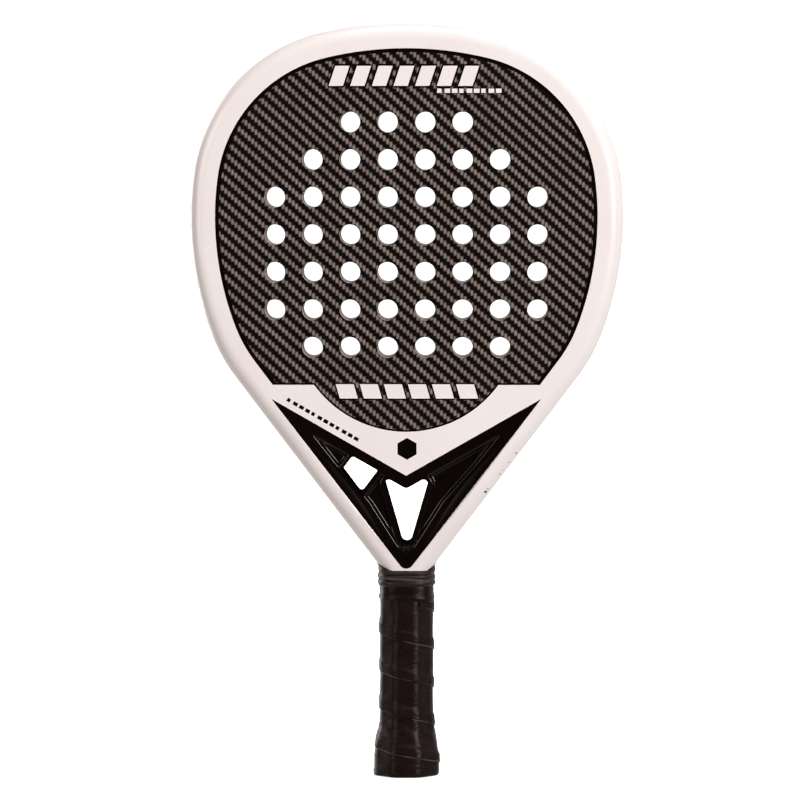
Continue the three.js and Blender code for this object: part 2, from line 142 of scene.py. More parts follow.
def head_arcs():
    """The right side's arcs from the crown down, as centre, radius, first and last heading."""
    sin_crown = math.sin(CROWN_END)
    sin_shoulder = math.sin(SHOULDER_END)
    beside = HEAD_HALF_WIDTH - CROWN_RADIUS * sin_crown - FLANK_RADIUS * (1 - sin_shoulder)
    shoulder_radius = beside / (sin_shoulder - sin_crown)
    crown = np.array([0, LENGTH - CROWN_RADIUS])
    shoulder = crown + outward(CROWN_END) * (CROWN_RADIUS - shoulder_radius)
    flank = shoulder + outward(SHOULDER_END) * (shoulder_radius - FLANK_RADIUS)
    hip = flank + outward(FLANK_END) * (FLANK_RADIUS - HIP_RADIUS)
    to_neck = np.array([NECK_HALF_WIDTH, NECK_HEIGHT]) - hip
    neck_heading = math.pi + math.atan2(-to_neck[0], -to_neck[1])
    leg_heading = neck_heading - math.acos(HIP_RADIUS / np.linalg.norm(to_neck))
    return [
        (crown, CROWN_RADIUS, 0, CROWN_END),
        (shoulder, shoulder_radius, CROWN_END, SHOULDER_END),
        (flank, FLANK_RADIUS, SHOULDER_END, FLANK_END),
        (hip, HIP_RADIUS, FLANK_END, leg_heading),
    ]


ARCS = head_arcs()
HIP_CENTRE = ARCS[-1][0]
LEG_HEADING = ARCS[-1][3]
LEG_OUT = outward(LEG_HEADING)
LEG_LEAN = LEG_HEADING - math.pi / 2
TIP_TURN = math.pi / 2 - LEG_LEAN  # half of the black tip's arc


def leg_inset(x, z):
    """How far a point lies inside the straight leg's outer side."""
    return HIP_RADIUS - (np.abs(x) - HIP_CENTRE[0]) * LEG_OUT[0] - (z - HIP_CENTRE[1]) * LEG_OUT[1]


def inset(x, z):
    """How far a point lies inside the racket's outline."""
    x = np.abs(np.asarray(x, float))
    z = np.asarray(z, float)
    found = np.maximum(leg_inset(x, z), NECK_HALF_WIDTH - x)
    for centre, radius, _, end in reversed(ARCS):
        across, up = x - centre[0], z - centre[1]
        heading = np.arctan2(across, up)
        heading = np.where(heading < -math.pi / 2, heading + 2 * math.pi, heading)
        found = np.where(heading <= end, radius - np.hypot(across, up), found)
    return found


def on_leg(depth, x):
    """Height of the line that runs inside the leg's outer side at a depth, at a distance from the middle."""
    return HIP_CENTRE[1] + (HIP_RADIUS - depth - (x - HIP_CENTRE[0]) * LEG_OUT[0]) / LEG_OUT[1]


def chevron(x, drop=0.0):
    """Height of the faces' lower edge, or of a line below it by a perpendicular drop."""
    return CHEVRON_HEIGHT + np.abs(x) * math.tan(CHEVRON_ANGLE) - drop / math.cos(CHEVRON_ANGLE)


def below_chevron(x, z):
    return (chevron(x) - z) * math.cos(CHEVRON_ANGLE)


def where_chevron_meets_leg(drop, depth):
    """The point where the line below the chevron meets the line inside the right leg."""
    rise = -LEG_OUT[0] / LEG_OUT[1] - math.tan(CHEVRON_ANGLE)
    x = (chevron(0, drop) - on_leg(depth, 0)) / rise
    return np.array([x, chevron(x, drop)])


def between(start, end, spacing):
    """Points from start up to, and without, end."""
    count = max(1, round(float(np.linalg.norm(np.subtract(end, start))) / spacing))
    return [np.add(start, np.subtract(end, start) * k / count) for k in range(count)]


def mirrored(right):
    """A closed loop from its right side, which starts at the top."""
    right = [np.asarray(p, float) for p in right]
    left = [p * (-1, 1) for p in reversed(right) if abs(p[0]) > 1e-6]
    return right + left


def outline(depth):
    """The closed outline at a depth inside the racket's own, down to the V or the neck's foot."""
    spacing = 3.0
    right = []
    for centre, radius, start, end in ARCS:
        count = max(4, round((end - start) * radius / spacing))
        for k in range(count):
            right.append(centre + outward(start + (end - start) * k / count) * (radius - depth))
    hip_end = HIP_CENTRE + LEG_OUT * (HIP_RADIUS - depth)
    half = max(NECK_HALF_WIDTH - depth, 0)
    stops = [hip_end, (half, on_leg(depth, half))]
    if half > 0:
        stops.append((half, NECK_FOOT))
    for start, end in zip(stops, stops[1:]):
        right += between(start, end, spacing)
    return mirrored([*right, stops[-1]])


def eased(share):
    """A share from 0 to 1 with a soft start and end."""
    return share * share * (3 - 2 * share)


def half_depth(z):
    """Half the racket's thickness, which tapers down the legs towards the neck."""
    share = np.clip((np.asarray(z, float) - NECK_HEIGHT) / TAPER_HEIGHT, 0, 1)
    return HALF_THICKNESS - NECK_TAPER * (1 - eased(share))


def arc_points(centre, radius, start, end, count):
    """Points on an arc between two headings, both ends included."""
    turns = np.linspace(start, end, count + 1)
    return [np.asarray(centre) + outward(h) * radius for h in turns]


def unit(vector):
    return vector / np.linalg.norm(vector)


def filleted(corners, steps):
    """A closed outline with its corners rounded. Each corner is x, z and radius."""
    points = []
    for i, (x, z, radius) in enumerate(corners):
        corner = np.array([x, z])
        to_previous = unit(np.array(corners[i - 1][:2]) - corner)
        to_next = unit(np.array(corners[(i + 1) % len(corners)][:2]) - corner)
        half_angle = math.acos(float(np.dot(to_previous, to_next))) / 2
        centre = corner + unit(to_previous + to_next) * radius / math.sin(half_angle)
        first = corner + to_previous * radius / math.tan(half_angle) - centre
        last = corner + to_next * radius / math.tan(half_angle) - centre
        turn = math.atan2(first[0] * last[1] - first[1] * last[0], float(np.dot(first, last)))
        for k in range(steps + 1):
            c, s = math.cos(turn * k / steps), math.sin(turn * k / steps)
            points.append(centre + (c * first[0] - s * first[1], s * first[0] + c * first[1]))
    return points


def grown(corners, by):
    """The corners of an outline moved outwards. Outer corners get rounder and inner ones sharper."""
    flat = np.array([c[:2] for c in corners], float)
    after = np.roll(flat, -1, 0)
    turning = np.sum(flat[:, 0] * after[:, 1] - after[:, 0] * flat[:, 1])
    along = after - flat
    along /= np.linalg.norm(along, axis=1)[:, None]
    away = np.stack([along[:, 1], -along[:, 0]], 1) * math.copysign(1, turning)
    moved = []
    for i, (_, _, radius) in enumerate(corners):
        crossing = along[i - 1][0] * along[i][1] - along[i - 1][1] * along[i][0]
        apart = (away[i] - away[i - 1]) * by
        run = (apart[0] * along[i][1] - apart[1] * along[i][0]) / crossing
        x, z = flat[i] + away[i - 1] * by + along[i - 1] * run
        outer = crossing * turning > 0
        moved.append((x, z, radius + by if outer else max(radius - by, 0.3)))
    return moved


def sides(loop):
    return zip(loop, [*loop[1:], loop[0]])


def distance_to(loop, x, z):
    """Distance of points from a closed outline."""
    nearest = np.full(np.shape(x), 1e9)
    for (ax, az), (bx, bz) in sides(loop):
        length = (bx - ax) ** 2 + (bz - az) ** 2
        share = np.clip(((x - ax) * (bx - ax) + (z - az) * (bz - az)) / max(length, 1e-12), 0, 1)
        nearest = np.minimum(nearest, np.hypot(x - ax - share * (bx - ax), z - az - share * (bz - az)))
    return nearest


def within(loop, x, z):
    """Whether points lie inside a closed outline."""
    inside = np.zeros(np.shape(x), bool)
    for (ax, az), (bx, bz) in sides(loop):
        if az != bz:
            beyond = (az > z) != (bz > z)
            inside ^= beyond & (x < (bx - ax) * (z - az) / (bz - az) + ax)
    return inside


def within_any(loops, x, z):
    return np.any([within(loop, x, z) for loop in loops], axis=0)


# ------------------------ materials


def set_inputs(node, **values):
    for name, value in values.items():
        node.inputs[name.replace("_", " ")].default_value = value


class Surface:
    """A material with one Principled shader and short calls for the nodes that feed it."""

    def __init__(self, name, color, roughness, **sockets):
        self.material = bpy.data.materials.new(name)
        self.material.use_nodes = True
        self.tree = self.material.node_tree
        self.shader = self.tree.nodes["Principled BSDF"]
        set_inputs(self.shader, Base_Color=(*color, 1), Roughness=roughness, **sockets)
        self.coordinates = self.node("ShaderNodeTexCoord").outputs["Object"]

    def node(self, kind, **settings):
        made = self.tree.nodes.new(kind)
        for key, value in settings.items():
            setattr(made, key, value)
        return made

    def feed(self, socket, value):
        if isinstance(value, bpy.types.NodeSocket):
            self.tree.links.new(value, socket)
        else:
            socket.default_value = value

    def math(self, operation, a, b=0.0, c=0.0):
        made = self.node("ShaderNodeMath", operation=operation)
        for socket, value in zip(made.inputs, (a, b, c)):
            self.feed(socket, value)
        return made.outputs[0]

    def stretched(self, x, y, z):
        """Object coordinates in millimetres, scaled along each axis."""
        made = self.node("ShaderNodeVectorMath", operation="MULTIPLY")
        self.feed(made.inputs[0], self.coordinates)
        made.inputs[1].default_value = (x / MM, y / MM, z / MM)
        return made.outputs[0]

    def noise(self, scale, detail=3.0, where=None, distortion=0.0):
        """Noise with features about 1/scale millimetres across."""
        made = self.node("ShaderNodeTexNoise")
        set_inputs(made, Scale=scale, Detail=detail, Distortion=distortion)
        self.feed(made.inputs["Vector"], self.stretched(1, 1, 1) if where is None else where)
        return made.outputs["Fac"]

    def cells(self, feature, scale):
        made = self.node("ShaderNodeTexVoronoi", feature=feature)
        set_inputs(made, Scale=scale)
        self.feed(made.inputs["Vector"], self.stretched(1, 1, 1))
        return made.outputs["Distance"]

    def mapped(self, value, from_low, from_high, to_low=0.0, to_high=1.0):
        made = self.node("ShaderNodeMapRange")
        for socket, given in zip(made.inputs, (value, from_low, from_high, to_low, to_high)):
            self.feed(socket, given)
        return made.outputs[0]

    def mix(self, share, a, b):
        """A colour between a and b."""
        made = self.node("ShaderNodeMix", data_type="RGBA")
        self.feed(made.inputs["Factor"], share)
        for socket, value in ((made.inputs[6], a), (made.inputs[7], b)):
            self.feed(socket, value if isinstance(value, bpy.types.NodeSocket) else (*value, 1))
        return made.outputs[2]

    def color(self, value):
        self.feed(self.shader.inputs["Base Color"], value)

    def mottled(self, value, low, high, color, deeper):
        self.color(self.mix(self.mapped(value, low, high), color, deeper))

    def roughness(self, value, low, high, smoothest, roughest):
        self.feed(self.shader.inputs["Roughness"], self.mapped(value, low, high, smoothest, roughest))

    def bump(self, height, depth, strength=1.0, under=None):
        """Relief of the given depth in millimetres where height goes from 0 to 1."""
        made = self.node("ShaderNodeBump")
        set_inputs(made, Strength=strength, Distance=depth * MM)
        self.feed(made.inputs["Height"], height)
        if under is not None:
            self.feed(made.inputs["Normal"], under)
        self.feed(self.shader.inputs["Normal"], made.outputs[0])
        return made.outputs[0]


def gloss_paint(name, color, deeper, roughness):
    """Sprayed paint under lacquer: slight orange peel, faint clouds and fine scuffs."""
    paint = Surface(name, color, roughness, Specular_IOR_Level=0.35, Coat_Weight=0.25, Coat_Roughness=0.08)
    paint.mottled(paint.noise(0.02, 2.0), 0.35, 0.7, color, deeper)
    scuffs = paint.noise(0.9, 4.0, paint.stretched(1, 1, 0.12), 0.6)
    paint.roughness(scuffs, 0.3, 0.75, roughness * 0.85, roughness * 1.35)
    paint.bump(paint.noise(0.7, 2.0), 0.012)
    return paint.material


def twill_weave(name):
    """Carbon twill under clear coat. The sheen of the upright floats is painted into the base colour,
    lightest at each float's crown, and the level floats are painted near black, as they stay dark.
    """
    tow_across, tow_up = 2.02, 1.85
    weave = Surface(name, (0.04, 0.028, 0.023), 0.34, Specular_IOR_Level=0.15, Coat_Weight=0.2,
                    Coat_Roughness=0.07)

    def plus(a, b):
        return weave.math("ADD", a, b)

    def times(a, b):
        return weave.math("MULTIPLY", a, b)

    split = weave.node("ShaderNodeSeparateXYZ")
    weave.feed(split.inputs[0], weave.stretched(1 / tow_across, 1, 1 / tow_up))
    u, v = split.outputs[0], split.outputs[2]
    part_u, part_v = weave.math("FRACT", u), weave.math("FRACT", v)
    steps = plus(weave.math("FLOOR", u), weave.math("FLOOR", v))
    place = weave.math("FLOORED_MODULO", steps, 4.0)
    warp_on_top = weave.math("LESS_THAN", place, 1.5)
    weft_place = weave.math("SUBTRACT", place, 2.0)

    def float_height(across, along_tows, along_part):
        """Height of a float two tows long, from its sides and from its ends."""
        crown = weave.math("SINE", times(across, math.pi))
        along = times(plus(along_tows, along_part), math.pi / 2)
        ends = weave.math("POWER", weave.math("MAXIMUM", weave.math("SINE", along), 0.0), 0.5)
        return times(weave.math("POWER", crown, 0.6), ends)

    warp = float_height(part_u, place, part_v)
    weft = float_height(part_v, weft_place, part_u)
    fibres_up = weave.noise(1.0, 3.0, weave.stretched(9.0, 1, 0.35))
    fibres_across = weave.noise(1.0, 3.0, weave.stretched(0.35, 1, 9.0))
    patches = weave.mapped(weave.noise(0.05, 2.0), 0.3, 0.7, 0.8, 1.15)
    # the upright floats' colour is a painted sheen, lightest at each float's crown; the level floats get only
    # a faint painted crown
    warp_sheen_share = times(times(warp, weave.mapped(fibres_up, 0.25, 0.75, 0.5, 1.2)), patches)
    warp_painted_sheen = weave.mix(warp_sheen_share, (0.007, 0.0035, 0.0028), (0.3, 0.235, 0.205))
    weft_share = times(weft, weave.mapped(fibres_across, 0.3, 0.8, 0.2, 1.0))
    weft_color = weave.mix(weft_share, (0.001, 0.0004, 0.0003), (0.006, 0.0032, 0.0025))
    weave.color(weave.mix(warp_on_top, weft_color, warp_painted_sheen))
    weft_on_top = weave.math("SUBTRACT", 1.0, warp_on_top)
    weave.bump(plus(times(warp_on_top, warp), times(weft_on_top, weft)), 0.035)
    return weave.material


def foam(name, color, deeper, cell, depth):
    """Closed-cell foam, cut or moulded, with its cells as small pits."""
    block = Surface(name, color, 0.85)
    block.mottled(block.noise(0.3), 0.3, 0.7, color, deeper)
    block.bump(block.cells("F1", cell), depth)
    return block.material


def wound_leather(name, color, worn, roughness, wrinkle_depth):
    """Thin polyurethane tape: soft creases along the pull, a fine pore grain, and worn patches."""
    skin = Surface(name, color, roughness, Specular_IOR_Level=0.19, Specular_Tint=(1, 0.74, 0.7, 1))
    skin.mottled(skin.noise(0.11, 4.0), 0.42, 0.75, color, worn)
    streaks = skin.noise(0.5, 4.0, skin.stretched(0.5, 0.5, 2.2), 0.8)
    skin.roughness(streaks, 0.3, 0.75, roughness * 0.8, roughness * 1.3)
    grain = skin.bump(skin.mapped(skin.cells("DISTANCE_TO_EDGE", 1.5), 0.0, 0.25), 0.02)
    creases = skin.noise(0.22, 3.0, skin.stretched(0.45, 0.45, 2.6), 1.2)
    skin.bump(creases, wrinkle_depth, 0.8, grain)
    return skin.material


def moulded(name, color, deeper, roughness, grain, depth, specular=0.3):
    """Moulded plastic or rubber with a fine texture and slight mottling."""
    body = Surface(name, color, roughness, Specular_IOR_Level=specular)
    body.mottled(body.noise(0.12), 0.35, 0.7, color, deeper)
    texture = body.noise(grain)
    body.roughness(texture, 0.3, 0.7, roughness * 0.85, roughness * 1.2)
    body.bump(texture, depth)
    return body.material


def drawn_steel(name):
    """Bright steel with fine drawing lines along Y."""
    steel = Surface(name, (0.5, 0.5, 0.49), 0.3, Metallic=1.0)
    lines = steel.noise(2.0, 3.0, steel.stretched(4, 0.2, 4))
    steel.color(steel.mix(lines, (0.42, 0.42, 0.41), (0.58, 0.58, 0.57)))
    steel.roughness(lines, 0.3, 0.7, 0.22, 0.4)
    steel.bump(lines, 0.01)
    return steel.material


WHITE = gloss_paint("white_paint", (0.875, 0.805, 0.79), (0.85, 0.765, 0.75), 0.3)
BLACK = gloss_paint("black_paint", (0.003, 0.0013, 0.0009), (0.0045, 0.0022, 0.0016), 0.16)
MATT_BLACK = moulded("matt_black", (0.004, 0.002, 0.0015), (0.006, 0.003, 0.0025), 0.75, 0.8, 0.02, 0.0)
WEAVE = twill_weave("carbon_twill")
EVA = foam("eva_foam", (0.64, 0.53, 0.48), (0.54, 0.44, 0.4), 1.6, 0.12)
CORE_FOAM = foam("handle_foam", (0.55, 0.45, 0.28), (0.47, 0.37, 0.22), 1.1, 0.15)
OVERGRIP = wound_leather("overgrip_skin", (0.0062, 0.0028, 0.0025), (0.0105, 0.0055, 0.005), 0.36, 0.45)
CUSHION = wound_leather("cushion_tape", (0.02, 0.017, 0.016), (0.028, 0.024, 0.022), 0.8, 0.2)
TAPE = wound_leather("finishing_tape", (0.0035, 0.0016, 0.0013), (0.006, 0.0032, 0.0028), 0.36, 0.2)
RUBBER = moulded("collar_rubber", (0.0105, 0.006, 0.0055), (0.017, 0.0105, 0.01), 0.46, 0.9, 0.05)
# the strand's rubber is coloured far lighter than the band's: a painted highlight on the strand
HIGHLIT_STRAND = moulded("collar_strand_painted_highlight", (0.055, 0.041, 0.038), (0.03, 0.02, 0.018), 0.4, 0.9, 0.05)
# a lighter, mottled colour for the tapes' lower edges: a painted highlight where the edge catches the light
EDGE_HIGHLIGHT = moulded("painted_edge_highlight", (0.012, 0.0075, 0.007), (0.13, 0.105, 0.098), 0.45, 0.5, 0.02)
CAP = moulded("cap_plastic", (0.01, 0.0085, 0.008), (0.015, 0.013, 0.012), 0.5, 1.6, 0.05)
STEEL = drawn_steel("drawn_steel")


# ------------------------ meshes


def linked(name, data):
    made = bpy.data.objects.new(name, data)
    scene.collection.objects.link(made)
    return made


def piece(name, points, faces, materials, slots, replaced, sharp):
    """A closed mesh from points in millimetres, riding on the racket's one body."""
    mesh = bpy.data.meshes.new(name)
    mesh.from_pydata((np.asarray(points, float) * MM).tolist(), [], faces)
    for material in materials:
        mesh.materials.append(material)
    mesh.polygons.foreach_set("material_index", np.asarray(slots, np.int32))
    mesh.shade_smooth()
    mesh.set_sharp_from_angle(angle=math.radians(sharp))
    mesh.update()
    made = linked(name, mesh)
    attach(made, "root")
    if replaced:
        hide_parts(*replaced)
    return made


class Plan:
    """Lines and points in X and Z along which a piece is triangulated."""

    def __init__(self):
        self.points = []
        self.edges = []

    def scattered(self, points):
        self.points += [Vector((float(x), float(z))) for x, z in points]

    def line(self, points, closed=False):
        start = len(self.points)
        self.scattered(points)
        end = len(self.points)
        self.edges += [(i, i + 1) for i in range(start, end - 1)]
        if closed:
            self.edges.append((end - 1, start))

    def both_sides(self, points):
        """A line on the right and the same on the left."""
        self.line(points)
        self.line([(-x, z) for x, z in points])

    def rectangle(self, half_width, foot, top):
        corners = [(half_width, foot), (half_width, top), (-half_width, top), (-half_width, foot)]
        self.line(corners, closed=True)

    def v_line(self, drop, depth=BORDER - 2):
        """A line below the chevron, ending at a depth inside the legs' outer sides."""
        end = where_chevron_meets_leg(drop, depth)
        self.line([end, (0, chevron(0, drop)), end * (-1, 1)])

    def triangles(self, inside):
        flat, _, faces = delaunay_2d_cdt(self.points, self.edges, [], 0, 1e-4)[:3]
        flat = np.array([tuple(p) for p in flat])
        corners = np.array(faces)
        corners = corners[inside(*flat[corners].mean(1).T)]
        used, corners = np.unique(corners, return_inverse=True)
        return flat[used], corners.reshape(-1, 3)


def constant(value):
    return lambda x, z: np.full(np.shape(x), value)


def plan_solid(name, node, plan, inside, front, materials, back=None, paint=constant(0),
               wall_paint=constant(0), sharp=35):
    """A closed piece between two surfaces, given as depths over its plan. The back may mirror the front."""
    flat, corners = plan.triangles(inside)
    x, z = flat.T
    count = len(flat)
    behind = back(x, z) if back else -front(x, z)
    points = np.concatenate([np.stack([x, front(x, z), z], 1), np.stack([x, behind, z], 1)])
    directed = np.concatenate([corners[:, [0, 1]], corners[:, [1, 2]], corners[:, [2, 0]]])
    known = set(map(tuple, directed.tolist()))
    border = np.array([edge for edge in directed.tolist() if (edge[1], edge[0]) not in known])
    a, b = border.T
    walls = np.stack([b, a, a + count, b + count], 1)
    faces = [*corners.tolist(), *(corners[:, ::-1] + count).tolist(), *walls.tolist()]
    painted = paint(*flat[corners].mean(1).T)
    wall_painted = wall_paint(*flat[border].mean(1).T)
    slots = np.concatenate([painted, painted, wall_painted])
    return piece(name, points, faces, materials, slots, [node], sharp)


# ------------------------ frame


TIP = np.array([0, on_leg(LEG_PAINT, 0) + TIP_RADIUS / math.sin(LEG_LEAN)])  # middle of the round tip
# the black's border on the right leg, from its upper end to where the tip's arc starts
PAINT_TOP = where_chevron_meets_leg(0, LEG_PAINT_TOP)
PAINT_FOOT = TIP + outward(math.pi - TIP_TURN) * TIP_RADIUS


def is_black_throat(x, z):
    """Whether points lie in the throat's black: below the chevron, between the legs' white, above the tip."""
    share = (z - PAINT_FOOT[1]) / (PAINT_TOP[1] - PAINT_FOOT[1])
    beside = leg_inset(x, z) > LEG_PAINT + (LEG_PAINT_TOP - LEG_PAINT) * share
    across, down = np.abs(x), TIP[1] - z
    in_tip = np.arctan2(across, down) < TIP_TURN
    return (below_chevron(x, z) > 0) & np.where(in_tip, np.hypot(across, down) < TIP_RADIUS, beside)


def chips():
    """Small knocks through the paint on the right leg, as uneven five-sided spots: place, size, turn."""
    spots = ((66.2, 196.0, 0.7, 0.4), (61.8, 190.6, 0.8, 1.3), (58.1, 185.8, 0.6, 2.0),
             (56.2, 183.4, 0.9, 0.6), (47.6, 172.7, 1.2, 0.9), (49.1, 174.4, 0.7, 0.2))
    fifth, squash = 1.257, 0.7
    loops = []
    for x, z, size, turn in spots:
        reach = [size * (0.55 + 0.45 * math.sin(3 * k + 5 * turn) ** 2) for k in range(5)]
        loops.append([(x + r * math.sin(turn + k * fifth), z + squash * r * math.cos(turn + k * fifth))
                      for k, r in enumerate(reach)])
    return loops


def frame_front(x, z):
    """Depth of the frame's front: rounded along the outline, flat inside it, and slimmer in the handle."""
    depth = np.clip(inset(x, z), 0, EDGE_RADIUS)
    round_off = EDGE_RADIUS - np.sqrt(EDGE_RADIUS ** 2 - (EDGE_RADIUS - depth) ** 2)
    shell = half_depth(z) - round_off
    corner_sum = STEM_HALF_WIDTH * math.sqrt(2)
    stem = DEPTH_RATIO * np.minimum(STEM_HALF_WIDTH, corner_sum - np.abs(x))
    return -np.where(z > NECK_FOOT - 0.3, shell, stem)


def frame_shell():
    """The painted frame, solid inside, with a slot in its stem for the filler."""
    plan = Plan()
    edge_steps = 8
    for k in range(edge_steps + 1):
        plan.line(outline(EDGE_RADIUS * (1 - math.cos(k * math.pi / 2 / edge_steps))), closed=True)
    plan.line(outline(EDGE_RADIUS + 0.9), closed=True)
    plan.line(outline(TUBE_WIDTH), closed=True)
    arc = arc_points(TIP, TIP_RADIUS, math.pi - TIP_TURN, math.pi + TIP_TURN, 12)
    plan.line([PAINT_TOP, *arc, PAINT_TOP * (-1, 1)])
    plan.both_sides([PAINT_TOP, where_chevron_meets_leg(0, TUBE_WIDTH)])
    plan.rectangle(STEM_HALF_WIDTH, STEM_FOOT, NECK_FOOT)
    plan.line([(STEM_HALF_WIDTH, STEM_LEDGE), (-STEM_HALF_WIDTH, STEM_LEDGE)])
    stem_flat = STEM_HALF_WIDTH * (math.sqrt(2) - 1)
    plan.both_sides([(stem_flat, NECK_FOOT), (stem_flat, STEM_FOOT)])
    plan.rectangle(STEM_SLOT, STEM_FOOT, SLOT_TOP)
    spots = chips()
    for spot in spots:
        plan.line(spot, closed=True)

    def inside(x, z):
        side, depth = np.abs(x), inset(x, z)
        ring_or_neck = (depth > 0) & (z > NECK_FOOT) & ((depth < TUBE_WIDTH) | (z < on_leg(TUBE_WIDTH, side)))
        stem = (z <= NECK_FOOT) & (side < STEM_HALF_WIDTH) & ((side > STEM_SLOT) | (z > SLOT_TOP))
        return ring_or_neck | stem

    def paint(x, z):
        return (is_black_throat(x, z) | within_any(spots, x, z)).astype(int)

    def wall_paint(x, z):
        return (is_black_throat(x, z) & (inset(x, z) > 1)).astype(int)

    plan_solid("frame_shell", "frame_tube", plan, inside, frame_front, [WHITE, BLACK],
               paint=paint, wall_paint=wall_paint)


# ------------------------ faces and core


HOLES = np.array([((i - (count - 1) / 2) * HOLE_PITCH, FIRST_ROW - row * HOLE_PITCH)
                  for row, count in enumerate(HOLES_PER_ROW) for i in range(count)])


def from_hole(x, z):
    """Distance of points from the nearest hole's middle."""
    return np.min(np.hypot(np.subtract.outer(x, HOLES[:, 0]), np.subtract.outer(z, HOLES[:, 1])), axis=1)


def hole_loop(plan, radius):
    steps = 48
    for hole in HOLES:
        plan.line(arc_points(hole, radius, 0, 2 * math.pi * (1 - 1 / steps), steps - 1), closed=True)


def slanted_bars(left, right, foot, height, count, gap, slant):
    """A plain row of leaning bars, as closed outlines."""
    pitch = (right - left - slant + gap) / count
    bars = []
    for i in range(count):
        a = left + i * pitch
        b = a + pitch - gap
        bars.append([(a, foot), (b, foot), (b + slant, foot + height), (a + slant, foot + height)])
    return bars


def dashes(start, end, count, share, thickness):
    """A plain row of short dashes along a line."""
    start, end = np.array(start), np.array(end)
    step = (end - start) / count
    up = np.array([-step[1], step[0]]) / np.linalg.norm(step) * thickness / 2
    loops = []
    for i in range(count):
        a = start + step * i
        b = a + step * share(i)
        loops.append([a - up, b - up, b + up, a + up])
    return loops


def with_edge(loops, width):
    """The same outlines grown by a width, for a dark edge round each."""
    return [filleted(grown([(x, z, 0.35) for x, z in loop], width), 2) for loop in loops]


TOP_MARK = slanted_bars(-46.4, 43.7, 416.1, 12.0, 7, 4.4, 4.0)
TOP_DASHES = dashes((18.5, 413.2), (58.0, 413.2), 9, lambda i: 0.78 if i % 3 else 0.6, 2.6)
FOOT_MARK = slanted_bars(-39.8, 40.7, 228.9, 8.6, 6, 3.6, -2.5)
LEG_DASHES = dashes((-71.4, 228.4), (-27.6, 203.3), 12, lambda i: 0.7 if i % 4 else 0.5, 2.2)
EMBLEM = arc_points((0.5, 198.7), 6.6, 0, 2 * math.pi * 5 / 6, 5)  # a hexagon


def in_panel(x, z, line=0.0):
    """Whether points lie above the panel's lower edge, or above the inner side of its black line."""
    return (z > PANEL_FOOT + line) | (np.hypot(x, z - CHIN_CENTRE) < CHIN_RADIUS - line)


def chin_line(line):
    """That edge, from the right: the cut, then the chin's arc, then the cut."""
    foot, radius = PANEL_FOOT + line, CHIN_RADIUS - line
    turn = math.acos((CHIN_CENTRE - foot) / radius)
    arc = arc_points((0, CHIN_CENTRE), radius, math.pi - turn, math.pi + turn, 48)
    return [(HEAD_HALF_WIDTH, foot), *arc, (-HEAD_HALF_WIDTH, foot)]


def face_plate(name, node, side):
    """One drilled carbon face with its painted lines and marks. Side is -1 at the front."""
    plan = Plan()
    plan.line(outline(BORDER), closed=True)
    plan.line(outline(TUBE_WIDTH + BORDER_LINE), closed=True)
    plan.v_line(0)
    plan.line(chin_line(0))
    plan.line(chin_line(PANEL_LINE))
    hole_loop(plan, HOLE_RADIUS)
    hole_loop(plan, HOLE_RADIUS + HOLE_BEVEL)
    white_marks = TOP_MARK + TOP_DASHES + FOOT_MARK
    edges = with_edge(TOP_MARK, 1.1) + with_edge(FOOT_MARK, 0.9) + with_edge(TOP_DASHES, 0.5)
    black_marks = LEG_DASHES + [EMBLEM]
    for loop in white_marks + edges + black_marks:
        plan.line(loop, closed=True)

    def inside(x, z):
        return (inset(x, z) > BORDER) & (below_chevron(x, z) < 0) & (from_hole(x, z) > HOLE_RADIUS)

    def outer(x, z):
        bevel = np.clip(HOLE_RADIUS + HOLE_BEVEL - from_hole(x, z), 0, HOLE_BEVEL)
        return side * (HALF_THICKNESS - 0.8 * bevel)

    def paint(x, z):
        weave = (inset(x, z) > TUBE_WIDTH + BORDER_LINE) & in_panel(x, z, PANEL_LINE)
        found = np.where(weave, 2, in_panel(x, z))
        found = np.where(from_hole(x, z) < HOLE_RADIUS + HOLE_BEVEL, 1, found)
        for loops, index in ((edges, 1), (white_marks, 0), (black_marks, 1)):
            found = np.where(within_any(loops, x, z), index, found)
        return found

    inner = constant(side * (HALF_THICKNESS - FACE_THICKNESS))
    front, back = (outer, inner) if side < 0 else (inner, outer)
    plan_solid(name, node, plan, inside, front, [WHITE, BLACK, WEAVE], back, paint,
               constant(1))


def foam_core():
    plan = Plan()
    plan.line(outline(BORDER), closed=True)
    plan.v_line(-BAR_ABOVE_EDGE - GAP)
    hole_loop(plan, HOLE_RADIUS)

    def inside(x, z):
        above = below_chevron(x, z) < -BAR_ABOVE_EDGE - GAP
        return (inset(x, z) > BORDER) & above & (from_hole(x, z) > HOLE_RADIUS)

    plan_solid("foam_core", "eva_core", plan, inside, constant(-CORE_HALF_DEPTH), [EVA])


# ------------------------ throat


def throat_bar():
    """The bar under the faces' lower edge. It fills their thickness below that edge."""
    plan = Plan()
    plan.line(outline(BORDER), closed=True)
    for drop in (-BAR_ABOVE_EDGE, 0, GAP, BAR_BELOW_EDGE):
        plan.v_line(drop)

    def inside(x, z):
        drop = below_chevron(x, z)
        return (inset(x, z) > BORDER) & (drop > -BAR_ABOVE_EDGE) & (drop < BAR_BELOW_EDGE)

    def front(x, z):
        return -np.where(below_chevron(x, z) > GAP / 2, HALF_THICKNESS, CORE_HALF_DEPTH)

    plan_solid("throat_bar", "bridge_bar", plan, inside, front, [BLACK])


